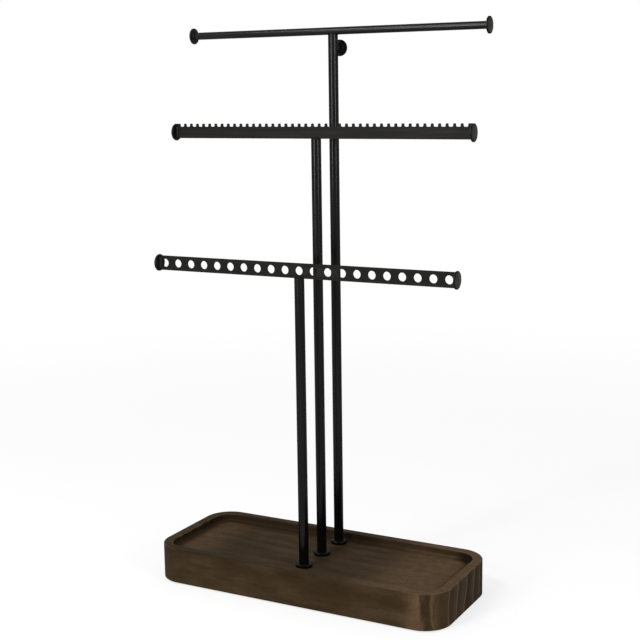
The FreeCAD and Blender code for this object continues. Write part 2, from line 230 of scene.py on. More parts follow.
def close_material(writer, **sockets):
    """Ends the tree in a Principled shader with these sockets."""
    inputs = {name.replace("_", " "): value for name, value in sockets.items()}
    shader = writer.make("ShaderNodeBsdfPrincipled", {}, inputs)
    writer.make("ShaderNodeOutputMaterial", {}, {"Surface": shader})


def bump(writer, height, depth_mm):
    """A normal from a height between 0 and 1 that stands for this depth."""
    inputs = {"Height": height, "Strength": 1.0, "Distance": depth_mm * MM}
    return writer.make("ShaderNodeBump", {}, inputs)


# %% [markdown]
# ## The stained wood of the tray
#
# The tray is routed from one solid board and rubbed with a dark, smoky stain. Three things make it
# look like wood. The growth rings are cylinders around the heart of the tree, which lay well in
# front of this board and near the level of its top, so the same rings run as streaks along the top,
# drift in broad clouds over the front and stand upright on the ends. The tree grew fast, so a ring
# is as wide as a finger. Fine fibres run along the length. And the stain has taken unevenly: it
# lies in clouds, and near the ends it has been rubbed off the edges a little. Some edges along the
# left part are darker. Towards the right end the wood itself is paler and figured. Shade is also
# painted along the foot of the recess's walls, darkest in the far right corner.
#
# A flat texture could be laid on each face, but then a streak on the top would stop at the edge. So
# the rings are worked out in three dimensions, as if the tray were cut from a real log. A ring is a
# fraction: distance from the heart divided by the width of a year. The part after the decimal point
# starts at a thin pale line, drops to dark wood and climbs back to a middle brown.

# %% Growth rings and fibres
TRAY_LOW, TRAY_HIGH = (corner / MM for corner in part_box("tray"))

# The heart of the tree and the width of a ring, in millimetres. The slope lets the rings run out of
# the board along its length, and they stray from their circles by a slow wander and a quick ripple.
HEART_Y, HEART_Z = -210.0, 27.0
YEAR_WIDTH = 14.0
RING_SLOPE = 0.020
RING_WANDER, RING_RIPPLE = 30.0, 5.0

# Fractions of a year at which a tone fades in or out.
LINE_ENDS, LINE_RETURNS = (0.02, 0.09), (0.97, 1.0)
DARK_STARTS, DARK_ENDS = (0.02, 0.14), (0.20, 1.0)

# Features per millimetre along the board, across it and up through it.
WANDER = (0.005, 0.014, 0.014)
RIPPLE = (0.02, 0.10, 0.05)
FIBRE = (0.030, 1.1, 1.1)
PORES = (0.12, 2.6, 2.6)
CLOUDS = (0.011, 0.042, 0.055)

# The clouds are taken from another place in the noise, where they suit the front of the tray.
CLOUD_DRIFT = (200.0, 50.0, 0.0)


def grain(writer, place):
    """Dark wood, pale ring lines, fibre, pores and stain clouds, each from 0 to 1."""
    x, y, z = writer.split(place)
    wander = writer.noise(place, WANDER, 2.0) - 0.5
    ripple = writer.noise(place, RIPPLE, 3.0) - 0.5
    across = y - HEART_Y
    upward = z - HEART_Z
    radius = (across * across + upward * upward).root()
    years = (radius + RING_SLOPE * x + RING_WANDER * wander + RING_RIPPLE * ripple) / YEAR_WIDTH
    season = years % 1.0
    year_noise = writer.make("ShaderNodeTexWhiteNoise", {"noise_dimensions": "1D"},
                             {"W": years.floor()})["Value"]
    dark = season.fade(*DARK_STARTS) * (1.0 - 0.85 * season.fade(*DARK_ENDS))
    dark = dark * (0.45 + 0.55 * year_noise)
    line = (1.0 - season.fade(*LINE_ENDS)).most(season.fade(*LINE_RETURNS))
    line = line * (1.0 - 0.4 * year_noise)

    fibre = writer.noise(place, FIBRE, 4.0, 0.6)
    pores = writer.noise(place, PORES, 1.0).fade(0.58, 0.72)
    drifted = writer.vector("ADD", place, CLOUD_DRIFT)
    clouds = writer.noise(drifted, CLOUDS, 4.0, 0.60).fade(0.10, 0.93)
    return dark, line, fibre, pores, clouds


# %% [markdown]
# Wear, and the darker walls of the recess, follow the tray's own outline. The distance from a point
# to a rectangle with round corners has a short formula, and because the recess has the same corners
# moved inwards by the width of the rim, that one distance places every edge of the tray.

# %% Distance to the tray's outline
CORNER_RADIUS = 23.0
RIM_WIDTH = 8.0
RECESS_DEPTH = 6.0
RIM_Z = TRAY_HIGH.z
RECESS_Z = RIM_Z - RECESS_DEPTH


def depth_from_side(x, y):
    """How far a point lies inside the outer wall of the tray."""
    over_x = abs(x) - (TRAY_HIGH.x - CORNER_RADIUS)
    over_y = abs(y) - (TRAY_HIGH.y - CORNER_RADIUS)
    round_x = over_x.most(0.0)
    round_y = over_y.most(0.0)
    corner = (round_x * round_x + round_y * round_y).root()
    return CORNER_RADIUS - corner - over_x.most(over_y).least(0.0)


def edge_distance(first, second):
    """Distance to the line where both of two distances are nothing."""
    return (first * first + second * second).root()


# %% [markdown]
# A mask is a number that is 1 where something shows and 0 elsewhere. Masks that are multiplied
# leave the part that they share, and masks that are added join. Everything that a mask of this
# tray needs to know about a point is worked out once: where it is, which way the surface faces
# there, how far it lies from the walls, and whether it is in the recess.

# %% Survey a point of the tray
PATCHES = (0.05, 0.12, 0.12)
CURL = (0.14, 0.14, 0.035)


def survey(writer, place):
    """The facts about a point that the masks below share."""
    x, y, z = writer.split(place)
    normal_x, _, normal_z = writer.split(writer.make("ShaderNodeNewGeometry")["Normal"])
    side = depth_from_side(x, y)
    below_rim = RIM_Z - z
    past_rim = side - RIM_WIDTH
    return SimpleNamespace(
        x=x, y=y, z=z, side=side, below_rim=below_rim, past_rim=past_rim,
        end_grain=abs(normal_x).fade(0.35, 0.95),
        flat=abs(normal_z).fade(0.3, 0.8),
        in_recess=past_rim.fade(-0.4, 0.1) * below_rim.fade(0.3, 0.8),
        patches=writer.noise(place, PATCHES, 3.0).fade(0.38, 0.66),
        curl=writer.noise(place, CURL, 4.0, 0.65).fade(0.30, 0.70))


# %% [markdown]
# Hands and cloths rub the edges near the ends. Along the left part of the tray the edges are
# darker instead.

# %% Worn edges, darker edges
NEAR_END = (95.0, 128.0)
DARK_EDGE_ENDS = (-60.0, 90.0)


def edge_masks(spot):
    """Edges that are rubbed pale, and edges that are darker along the left part."""
    outer_edge = edge_distance(spot.side, spot.below_rim)
    inner_edge = edge_distance(spot.past_rim, spot.below_rim)
    lower_edge = edge_distance(spot.side, spot.z - TRAY_LOW.z)
    edge = outer_edge.least(inner_edge).least(lower_edge)
    near_end = abs(spot.x).fade(*NEAR_END)
    wear = (1.0 - edge.fade(0.2, 1.3)) * near_end * (0.15 + 0.30 * spot.patches)
    darker_edges = (1.0 - edge.fade(0.3, 1.5)) * (1.0 - spot.x.fade(*DARK_EDGE_ENDS)) * (1.0 - near_end)
    return wear, darker_edges


# %% [markdown]
# Paler wood with a curl in its figure comes out at the right end of the front, in two bands with a
# dark smudge between them. It also shows on the right part of the top, and faintly at the left end
# of the recess. The bands go round the corner, so they are placed by x plus a share of y.

# %% Figured bands and a smudge
CORNER_SLANT = 0.54
CORNER_RAGGED = 6.0
FRONT_ENDS_Y = (-20.0, 5.0)
FIRST_BAND = (68.0, 80.0), (86.0, 91.0)
SECOND_BAND = (95.0, 101.0)
SMUDGE_BAND = (85.0, 90.0), (93.0, 100.0)
SMUDGE_Z = (2.0, 20.0)
PALE_TOP = (40.0, 90.0)
PALE_LEFT_ENDS = (-112.0, -75.0)


def figure_masks(spot):
    """Pale figured wood, and the smudge between its two bands on the front."""
    on_wall = (1.0 - spot.flat) * (1.0 - spot.y.fade(*FRONT_ENDS_Y))
    round_corner = spot.x + CORNER_SLANT * spot.y + CORNER_RAGGED * (spot.curl - 0.5)
    first = round_corner.band(*FIRST_BAND)
    second = round_corner.fade(*SECOND_BAND) * (1.0 - spot.end_grain * 0.8)
    figured = on_wall * first.most(second) + spot.flat * spot.x.fade(*PALE_TOP) * 0.78
    pale_left = spot.flat * spot.in_recess * (1.0 - spot.x.fade(*PALE_LEFT_ENDS))
    smudge = on_wall * round_corner.band(*SMUDGE_BAND)
    return figured + pale_left * 0.55, smudge * (0.35 + 0.65 * spot.z.fade(*SMUDGE_Z))


# %% [markdown]
# Shade is painted at the foot of the recess's wall as a dark seam. It is weaker along the open
# right half, and darkest in the far right corner.

# %% Painted shade under the walls of the recess
OPEN_STRETCH = (15.0, 60.0), (104.0, 113.0)
FAR_CORNER_X, FAR_CORNER_Y = (98.0, 114.0), (-5.0, 38.0)


def recess_shade_masks(spot):
    """Painted shade: the seam at the foot of the wall, and the far right corner."""
    foot_of_wall = edge_distance(spot.past_rim.most(0.0), (spot.z - RECESS_Z).most(0.0))
    open_stretch = spot.x.band(*OPEN_STRETCH)
    # Painted shade along the inside corner of the recess, and more of it in the far right corner.
    seam_shade = spot.in_recess * (1.0 - foot_of_wall.fade(2.0, 10.0)) * (1.0 - 0.65 * open_stretch)
    far_corner_shade = spot.x.fade(*FAR_CORNER_X) * spot.y.fade(*FAR_CORNER_Y)
    far_corner_shade = far_corner_shade * spot.in_recess * (1.0 - foot_of_wall.fade(2.5, 8.0))
    return seam_shade, far_corner_shade


# %% [markdown]
# The stains are laid over each other like glazes: each mask lets one more colour through, and the
# painted shade of the recess goes on the same way. At the end the fibre lightens and darkens all of
# it a little, because it takes the stain in streaks.

# %% The wood itself
# The first colour is painted shade for the far right corner of the recess. The deep stain darkens the
# rings and pores, and also paints the seam of shade under the recess's walls.
CORNER_SHADE = (0.0050, 0.0036, 0.0022, 1)
DARK_STAIN_AND_SHADE = (0.0165, 0.0098, 0.0045, 1)
BROWN_STAIN = (0.0440, 0.0275, 0.0130, 1)
SMOKY_TAN = (0.0950, 0.0630, 0.0360, 1)
FIGURED_TAN = (0.0960, 0.0580, 0.0300, 1)
WORN_EDGE = (0.1250, 0.0880, 0.0510, 1)


def make_wood():
    """Rings, fibre, the stains and the painted shade of the recess, as one finish."""
    material, writer, place = new_material("stained_board")
    dark, line, fibre, pores, clouds = grain(writer, place)
    spot = survey(writer, place)
    wear, darker_edges = edge_masks(spot)
    figured, smudge = figure_masks(spot)
    # These two masks are painted shade in the recess.
    seam_shade, far_corner_shade = recess_shade_masks(spot)

    # This colour holds the stains, and further down the painted shade of the recess.
    stain_and_shade = writer.colour_mix(clouds, DARK_STAIN_AND_SHADE, BROWN_STAIN)
    for mask, colour in (
            (clouds * spot.patches * 0.24, SMOKY_TAN),
            (dark * (0.32 + 1.10 * spot.end_grain), DARK_STAIN_AND_SHADE),
            (figured * (0.40 + 0.45 * spot.curl), FIGURED_TAN),
            (smudge * 0.50, DARK_STAIN_AND_SHADE),
            (line * (0.06 + 0.84 * spot.end_grain), SMOKY_TAN),
            (darker_edges * 0.65, DARK_STAIN_AND_SHADE),
            (pores * 0.45, DARK_STAIN_AND_SHADE),
            # Painted shade: the seam under the recess's walls and the far right corner.
            (seam_shade * 0.85, DARK_STAIN_AND_SHADE),
            (far_corner_shade * 0.75, CORNER_SHADE),
            (wear, WORN_EDGE)):
        stain_and_shade = writer.colour_mix(mask, stain_and_shade, colour)
    streak = 0.72 + 0.56 * fibre
    channels = {"Red": streak, "Green": streak, "Blue": streak}
    grey = writer.make("ShaderNodeCombineColor", {}, channels)
    stain_and_shade = writer.colour_mix(1.0, stain_and_shade, grey, "MULTIPLY")

    height = 0.55 * fibre + 0.25 * line - 0.6 * pores
    close_material(
        writer, Base_Color=stain_and_shade, Roughness=0.56 + 0.16 * fibre + 0.06 * dark,
        Specular_IOR_Level=0.03, Normal=bump(writer, height, 0.12))
    return material


wood = make_wood()
print("nodes in the wood:", len(wood.node_tree.nodes))

# %% [markdown]
# ## Powder coat
#
# Powder coat is plastic dust that is blown on the steel and melted in an oven. It flows out into a
# skin with very fine dimples, like the peel of an orange, soft at every edge. On strips and posts
# that are handled, the high spots are rubbed slightly smoother. The colour is almost black with a
# trace of brown, so most of what the eye sees is the sheen. One rough black finish would look like
# rubber. So the black is nearly matt here, and a thin clear layer over it gives the sheen: its
# weight, its roughness and the bump set how bright and how wide the lines of light are.
#
# On the caps, a band along the front of the rim and the back of the disc are painted darker and
# duller. That is painted shade: it stands for a dark reflection on the rim and for the shade behind
# the disc. A mesh marks where in an attribute, and a mesh without it reads 0.

# %% One recipe for a coat
PEEL = (1.5, 1.5, 1.5)
DUST = (6.0, 6.0, 6.0)
SPECKS = (2.6, 2.6, 2.6)
SPECK_COLOUR = (0.030, 0.029, 0.027, 1)
LIGHTER, DARKER = 1.9, 0.2
CLEAR_LAYER_IOR = 2.0


def make_coat(name, colour, roughness, gloss, grain_depth, rub_direction):
    """Satin black powder coat. Rub direction stretches the handling marks along the piece."""
    material, writer, place = new_material(name)
    peel = writer.noise(place, PEEL, 2.0, 0.55)
    dust = writer.noise(place, DUST, 1.0)
    rubbed = writer.noise(place, rub_direction, 3.0, 0.6).fade(0.40, 0.68)
    speck = writer.noise(place, SPECKS, 0.0).fade(0.77, 0.84)
    # The attribute marks painted shade on the caps.
    starved = writer.make("ShaderNodeAttribute", {"attribute_name": "starved"})["Fac"]

    lighter = tuple(LIGHTER * part for part in colour) + (1,)
    darker = tuple(DARKER * part for part in colour) + (1,)
    tone = writer.colour_mix(rubbed * 0.55 + 0.25 * peel, colour + (1,), lighter)
    tone = writer.colour_mix(speck * 0.15, tone, SPECK_COLOUR)
    # Painted shade: a darker colour here, and less sheen below.
    tone = writer.colour_mix(starved, tone, darker)
    height = 0.8 * peel + 0.2 * dust
    sheen = (0.80 + 0.28 * rubbed + 0.14 * peel) * (1.0 - 0.65 * starved)
    close_material(
        writer, Base_Color=tone, Roughness=0.62 + 0.10 * peel, Specular_IOR_Level=0.01,
        Coat_Weight=gloss * sheen, Coat_Roughness=roughness,
        Coat_IOR=CLEAR_LAYER_IOR, Normal=bump(writer, height, grain_depth))
    return material


# %% Five coats
# Handling marks per millimetre on each axis: long ones along a bar or a post, short ones elsewhere.
ALONG_BAR = (0.014, 0.3, 0.3)
ALONG_POST = (0.3, 0.3, 0.012)
SHORT_MARKS = (0.2, 0.2, 0.2)
TINY_MARKS = (0.4, 0.4, 0.4)

post_coat = make_coat("post_coat", (0.0010, 0.0010, 0.0009), roughness=0.19, gloss=0.094,
                      grain_depth=0.002, rub_direction=ALONG_POST)
bar_coat = make_coat("bar_coat", (0.0046, 0.0043, 0.0038), roughness=0.45, gloss=0.057,
                     grain_depth=0.020, rub_direction=ALONG_BAR)
rod_coat = make_coat("rod_coat", (0.0026, 0.0022, 0.0022), roughness=0.22, gloss=0.122,
                     grain_depth=0.0025, rub_direction=ALONG_BAR)
cap_coat = make_coat("cap_coat", (0.0110, 0.0105, 0.0098), roughness=0.26, gloss=0.115,
                     grain_depth=0.008, rub_direction=SHORT_MARKS)
weld_coat = make_coat("weld_coat", (0.0026, 0.0025, 0.0024), roughness=0.36, gloss=0.066,
                      grain_depth=0.024, rub_direction=TINY_MARKS)
print("coats:", [coat.name for coat in (post_coat, bar_coat, rod_coat, cap_coat, weld_coat)])

# %% [markdown]
# ## Plated steel and rubber
#
# Under the tray are three zinc-plated screws and washers, and four rubber pads. Zinc plate shows a
# patchwork of dull crystals and the fine rings that the lathe left. Rubber is nearly black, very
# rough, and carries a little pale dust.

# %% Zinc, turned steel and rubber
RING_HEIGHT = 0.4


def make_steel(name, colour, roughness, ring_spacing):
    """Plated or turned steel with crystals and fine tool marks."""
    material, writer, place = new_material(name)
    crystals = writer.make("ShaderNodeTexVoronoi", {"feature": "F1"},
                           {"Vector": place, "Scale": 0.9, "Randomness": 1.0})["Color"]
    tone = writer.make("ShaderNodeSeparateColor", {}, {"Color": crystals})["Red"]
    z = writer.split(place)[2]
    marks = writer.noise(place, (1 / ring_spacing, 1 / ring_spacing, 6.0), 2.0)
    dull = writer.noise(place, (0.35, 0.35, 0.35), 3.0)
    darker = tuple(0.72 * part for part in colour) + (1,)
    shade = writer.colour_mix(0.6 * tone + 0.4 * dull, darker, colour + (1,))
    rough = roughness + 0.14 * dull + 0.08 * tone + 0.02 * (z % RING_HEIGHT)
    close_material(writer, Base_Color=shade, Metallic=1.0, Roughness=rough,
                   Normal=bump(writer, marks, 0.010))
    return material


def make_rubber():
    """Black rubber with pale dust in the dimples of its skin."""
    material, writer, place = new_material("foot_rubber")
    skin = writer.noise(place, (4.0, 4.0, 4.0), 3.0)
    dust = writer.noise(place, (0.6, 0.6, 0.6), 3.0).fade(0.45, 0.75)
    tone = writer.colour_mix(dust * 0.5, (0.012, 0.012, 0.012, 1), (0.05, 0.048, 0.044, 1))
    close_material(writer, Base_Color=tone, Roughness=0.78 + 0.14 * skin,
                   Specular_IOR_Level=0.4, Normal=bump(writer, skin, 0.04))
    return material


zinc = make_steel("zinc_steel", (0.60, 0.61, 0.63), roughness=0.28, ring_spacing=0.8)
inner_steel = make_steel("inner_steel", (0.42, 0.42, 0.43), roughness=0.36, ring_spacing=0.5)
rubber = make_rubber()

# %% [markdown]
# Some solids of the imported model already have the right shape: the tray, the flanges at the feet of
# the posts, the rod, the peg, the screws, and the steel pieces hidden in the tubes. They keep their
# own mesh and only take a finish.

# %% Finish the solids that stay
KEPT = {
    wood: ["tray"],
    post_coat: ["front_collar", "middle_collar", "rear_collar"],
    rod_coat: ["necklace_bar", "rear_peg"],
    zinc: ["front_screw", "middle_screw", "rear_screw"],
    inner_steel: ["front_threaded_insert", "middle_threaded_insert", "rear_threaded_insert",
                  "front_top_plug", "middle_top_plug", "rear_top_plug"],
}
for material, names in KEPT.items():
    for name in names:
        for material_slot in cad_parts[name].material_slots:
            material_slot.material = material
print("solids kept:", sum(len(names) for names in KEPT.values()))

# %% [markdown]
# ## Growing a mesh with Geometry Nodes
#
# A strip full of holes, or a row of notches, follows a rule, so a tree can grow it: change a number
# and the whole row follows. Each tree gets named inputs for its sizes. A modifier keeps its inputs
# by identifier and not by name, so the helper looks the identifier up before it sets a value. The
# result is then copied to a plain mesh, which needs no modifier any more.

# %% Make a tree, run a tree
SOCKET_TYPES = {float: "NodeSocketFloat", int: "NodeSocketInt", Vector: "NodeSocketVector",
                bpy.types.Material: "NodeSocketMaterial"}


def new_tree(name, sizes):
    """A tree with one input for each named size. Returns its writer and the input wires."""
    tree = bpy.data.node_groups.new(name, "GeometryNodeTree")
    tree.interface.new_socket("Geometry", in_out="INPUT", socket_type="NodeSocketGeometry")
    tree.interface.new_socket("Geometry", in_out="OUTPUT", socket_type="NodeSocketGeometry")
    for size, kind in sizes.items():
        tree.interface.new_socket(size, in_out="INPUT", socket_type=SOCKET_TYPES[kind])
    writer = Writer(tree)
    return writer, writer.make("NodeGroupInput")


def close_tree(writer, inputs, geometry):
    """Realizes the instances, sets the material and ends the tree."""
    solid = writer.make("GeometryNodeRealizeInstances", {}, {"Geometry": geometry})
    inputs = {"Geometry": solid, "Material": inputs["Material"]}
    painted = writer.make("GeometryNodeSetMaterial", {}, inputs)
    writer.make("NodeGroupOutput", {}, {"Geometry": painted})
    return writer.tree


def grow(name, tree, values, mesh=None):
    """Runs a tree once and returns its result as a plain mesh object at the origin."""
    seed = bpy.data.objects.new(name + "_seed", mesh or bpy.data.meshes.new(name + "_seed"))
    bpy.context.scene.collection.objects.link(seed)
    modifier = seed.modifiers.new("grow", "NODES")
    modifier.node_group = tree
    for item in tree.interface.items_tree:
        if item.in_out == "INPUT" and item.name in values:
            modifier[item.identifier] = values[item.name]
    return settle(name, seed)


def settle(name, seed):
    """Copies what the modifiers make to a plain mesh, and removes the object that had them."""
    depsgraph = bpy.context.evaluated_depsgraph_get()
    result = bpy.data.meshes.new_from_object(seed.evaluated_get(depsgraph), depsgraph=depsgraph)
    result.name = name
    piece = bpy.data.objects.new(name, result)
    bpy.context.scene.collection.objects.link(piece)
    bpy.data.objects.remove(seed)
    print(name, "has", len(result.polygons), "faces")
    return piece


# %% [markdown]
# Laser-cut and punched edges are never knife sharp, and under powder coat less so. A small Bevel
# rounds every edge sharper than its angle, and its hardened normals keep the broad faces flat.

# %% Soften the edges
BEVEL_SEGMENTS = 3
BEVEL_ABOVE_DEGREES = 35


def soften(piece, radius_mm):
    """Rounds the sharp edges of a piece and shades it smooth."""
    name = piece.name
    for polygon in piece.data.polygons:
        polygon.use_smooth = True
    bevel = piece.modifiers.new("soft edge", "BEVEL")
    bevel.width = radius_mm * MM
    bevel.segments = BEVEL_SEGMENTS
    bevel.limit_method = "ANGLE"
    bevel.angle_limit = math.radians(BEVEL_ABOVE_DEGREES)
    bevel.harden_normals = True
    piece.name = name + "_sharp"
    return settle(name, piece)


# %% [markdown]
# ## A flat blank, cut like a sheet
#
# Both strips are cut from sheet steel. The tree does the same: an outline is filled to a flat face,
# pushed out by the thickness of the sheet, closed at the back, and stood upright.

# %% From outline to upright sheet
# Points nearer than this, in metres, are one point.
SAME_POINT = 0.001 * MM


def sheet_from_outline(writer, outline, thickness, place):
    """Fills closed curves in the XY plane and returns an upright sheet centred on its place."""
    flat = writer.make("GeometryNodeFillCurve", {"mode": "NGONS"}, {"Curve": outline})
    front = writer.make("GeometryNodeExtrudeMesh", {"mode": "FACES"},
                        {"Mesh": flat, "Offset Scale": thickness, "Individual": False})
    back = writer.make("GeometryNodeFlipFaces", {}, {"Mesh": flat})
    shell = writer.make("GeometryNodeJoinGeometry", {}, {"Geometry": [front, back]})
    shell = writer.make("GeometryNodeMergeByDistance", {},
                        {"Geometry": shell, "Distance": SAME_POINT})
    half = writer.make("ShaderNodeCombineXYZ", {}, {"Z": thickness * -0.5})
    shell = writer.make("GeometryNodeTransform", {}, {"Geometry": shell, "Translation": half})
    return writer.make("GeometryNodeTransform", {}, {
        "Geometry": shell, "Translation": place, "Rotation": (math.radians(90), 0, 0)})


# %% [markdown]
# ## The earring strip
#
# Earring hooks hang from a row of round holes, half an inch apart. In the tree, one circle is set
# on each point of a straight line, and the circles are filled together with the outline of the
# strip, so that they become holes. That is quicker and cleaner than cutting them one by one.

# %% Tree: strip with a row of round holes
HOLE_FACETS = 44


def tree_for_holes():
    """A strip with one circle cut out of it on each point of a line."""
    writer, inputs = new_tree("row_of_holes", {
        "Length": float, "Height": float, "Thickness": float, "Hole Count": int,
        "Hole Pitch": float, "Hole Diameter": float, "Place": Vector,
        "Material": bpy.types.Material})
    edge = writer.make("GeometryNodeCurvePrimitiveQuadrilateral", {"mode": "RECTANGLE"},
                       {"Width": inputs["Length"], "Height": inputs["Height"]})
    hole = writer.make("GeometryNodeCurvePrimitiveCircle", {"mode": "RADIUS"},
                       {"Resolution": HOLE_FACETS, "Radius": inputs["Hole Diameter"] * 0.5})
    first = (inputs["Hole Count"] - 1.0) * inputs["Hole Pitch"] * -0.5
    row = writer.make("GeometryNodeMeshLine", {"mode": "OFFSET"}, {
        "Count": inputs["Hole Count"],
        "Start Location": writer.make("ShaderNodeCombineXYZ", {}, {"X": first}),
        "Offset": writer.make("ShaderNodeCombineXYZ", {}, {"X": inputs["Hole Pitch"]})})
    holes = writer.make("GeometryNodeInstanceOnPoints", {}, {"Points": row, "Instance": hole})
    holes = writer.make("GeometryNodeRealizeInstances", {}, {"Geometry": holes})
    outline = writer.make("GeometryNodeJoinGeometry", {}, {"Geometry": [edge, holes]})
    sheet = sheet_from_outline(writer, outline, inputs["Thickness"], inputs["Place"])
    return close_tree(writer, inputs, sheet)


# %% Grow the earring strip
POST_DIAMETER = 8.0
HOLE_COUNT = 21
HOLE_PITCH = 12.7
HOLE_DIAMETER = 6.8
SHEET_EASE = 0.22

_, post_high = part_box("front_post")
strip_low, strip_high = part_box("earring_bar")
BAR_LENGTH = (strip_high.x - strip_low.x) / MM
STRIP_THICKNESS = (strip_high.y - strip_low.y) / MM


def strip_sizes(low, high, post_top):
    """The sizes that both trees ask for, from a strip's box and the top of its post."""
    height = high.z - post_top
    return {
        "Length": BAR_LENGTH * MM, "Height": height, "Thickness": STRIP_THICKNESS * MM,
        "Place": Vector((0, (low.y + high.y) / 2, high.z - height / 2)), "Material": bar_coat}


earring_bar = grow("earring_strip", tree_for_holes(), {
    **strip_sizes(strip_low, strip_high, post_high.z), "Hole Count": HOLE_COUNT,
    "Hole Pitch": HOLE_PITCH * MM, "Hole Diameter": HOLE_DIAMETER * MM})
earring_bar = soften(earring_bar, SHEET_EASE)
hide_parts("earring_bar")
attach(earring_bar, "front_tee")

# %% [markdown]
# ## The bracelet strip
#
# The middle strip keeps bracelets apart with a row of small notches in its upper edge. Its outline
# is one long line with four points to a notch: down, across, up, and over to the next. A point's
# number tells which notch it belongs to and which of the four it is, so its place is a sum. Fillet
# Curve then rounds the roots with one radius and the tips of the teeth with another.

# %% Tree: strip with a notched edge
ARC_STEPS = 4


def tree_for_notches():
    """A strip whose upper edge goes down into a notch and up again, over and over."""
    writer, inputs = new_tree("row_of_notches", {
        "Length": float, "Height": float, "Thickness": float, "Notch Count": int,
        "Notch Pitch": float, "Notch Width": float, "Notch Depth": float,
        "Root Radius": float, "Tip Radius": float, "Place": Vector,
        "Material": bpy.types.Material})
    line = writer.make("GeometryNodeMeshLine", {"mode": "OFFSET"},
                       {"Count": inputs["Notch Count"] * 4.0 + 4.0, "Offset": (MM, 0, 0)})

    number = writer.make("GeometryNodeInputIndex")
    step = number % 4.0
    second_half = step > 1.5
    low = (step > 0.5) * (step < 2.5)
    end = number > inputs["Notch Count"] * 4.0 - 0.5

    middle = (number / 4.0).floor() - (inputs["Notch Count"] - 1.0) * 0.5
    notch_x = middle * inputs["Notch Pitch"] + (second_half - 0.5) * inputs["Notch Width"]
    end_x = (0.5 - second_half) * inputs["Length"]
    x = notch_x + end * (end_x - notch_x)
    drop = inputs["Notch Depth"] + end * (inputs["Height"] - inputs["Notch Depth"])
    y = inputs["Height"] * 0.5 - low * drop
    place = writer.make("ShaderNodeCombineXYZ", {}, {"X": x, "Y": y})
    radius = inputs["Tip Radius"] + low * (inputs["Root Radius"] - inputs["Tip Radius"])

    settings = {"data_type": "FLOAT", "domain": "POINT"}
    line = writer.make("GeometryNodeStoreNamedAttribute", settings,
                       {"Geometry": line, "Name": "rounding", "Value": radius * (1.0 - end)})
    line = writer.make("GeometryNodeSetPosition", {}, {"Geometry": line, "Position": place})
    curve = writer.make("GeometryNodeMeshToCurve", {}, {"Mesh": line})
    curve = writer.make("GeometryNodeSetSplineCyclic", {}, {"Geometry": curve, "Cyclic": True})
    rounding = writer.make("GeometryNodeInputNamedAttribute", {"data_type": "FLOAT"},
                           {"Name": "rounding"})
    curve = writer.make("GeometryNodeFilletCurve", {"mode": "POLY"}, {
        "Curve": curve, "Count": ARC_STEPS, "Radius": rounding, "Limit Radius": True})
    sheet = sheet_from_outline(writer, curve, inputs["Thickness"], inputs["Place"])
    return close_tree(writer, inputs, sheet)


# %% Grow the bracelet strip
NOTCH_COUNT = 43
NOTCH_PITCH = 6.05
NOTCH_WIDTH = 4.0
NOTCH_DEPTH = 2.5
ROOT_RADIUS = 0.9
TIP_RADIUS = 0.7

_, post_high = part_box("middle_post")
strip_low, strip_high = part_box("bracelet_bar")
bracelet_bar = grow("bracelet_strip", tree_for_notches(), {
    **strip_sizes(strip_low, strip_high, post_high.z), "Notch Count": NOTCH_COUNT,
    "Notch Pitch": NOTCH_PITCH * MM, "Notch Width": NOTCH_WIDTH * MM,
    "Notch Depth": NOTCH_DEPTH * MM, "Root Radius": ROOT_RADIUS * MM,
    "Tip Radius": TIP_RADIUS * MM})
bracelet_bar = soften(bracelet_bar, SHEET_EASE)
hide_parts("bracelet_bar")
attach(bracelet_bar, "middle_tee")

# %% [markdown]
# ## Turned pieces
#
# Posts, caps, washers and pads are round, as if turned on a lathe. Their profile is drawn as a few
# corners, each corner is replaced by a small arc, and the profile is spun about its axis. Where it
# touches the axis the copies of a point fall together, so they are merged, and only then are the
# normals turned outwards.

# %% Round a profile
def eased(corners, radii, steps=5):
    """A closed profile with each corner replaced by an arc of its own radius."""
    points = []
    for i, corner in enumerate(corners):
        here = Vector(corner)
        if radii[i] == 0:
            points.append(here)
            continue
        before = (Vector(corners[i - 1]) - here).normalized()
        after = (Vector(corners[(i + 1) % len(corners)]) - here).normalized()
        half_angle = before.angle(after) / 2
        run = radii[i] / math.tan(half_angle)
        middle = here + (before + after).normalized() * (radii[i] / math.sin(half_angle))
        start = here + before * run - middle
        sweep = start.angle_signed(here + after * run - middle)
        for k in range(steps + 1):
            turned = start.copy()
            turned.rotate(Matrix.Rotation(-sweep * k / steps, 2))
            points.append(middle + turned)
    return points


# %% Spin a profile, put it in its place
# Copies of a point on the axis lie nearer together than this, in metres, and the faces between
# them have less area than this, in square metres.
SAME_PLACE = 0.0005 * MM
NO_AREA = 1e-14
CRISP_ABOVE_DEGREES = 50


def shade_mesh(mesh):
    """Smooth shading, with the sharper edges kept crisp."""
    mesh.shade_smooth()
    mesh.set_sharp_from_angle(angle=math.radians(CRISP_ABOVE_DEGREES))


def put_in_order(elements, key):
    """Sorts points or faces, which a merge leaves in another order on every run."""
    for rank, element in enumerate(sorted(elements, key=key)):
        element.index = rank
    elements.sort()


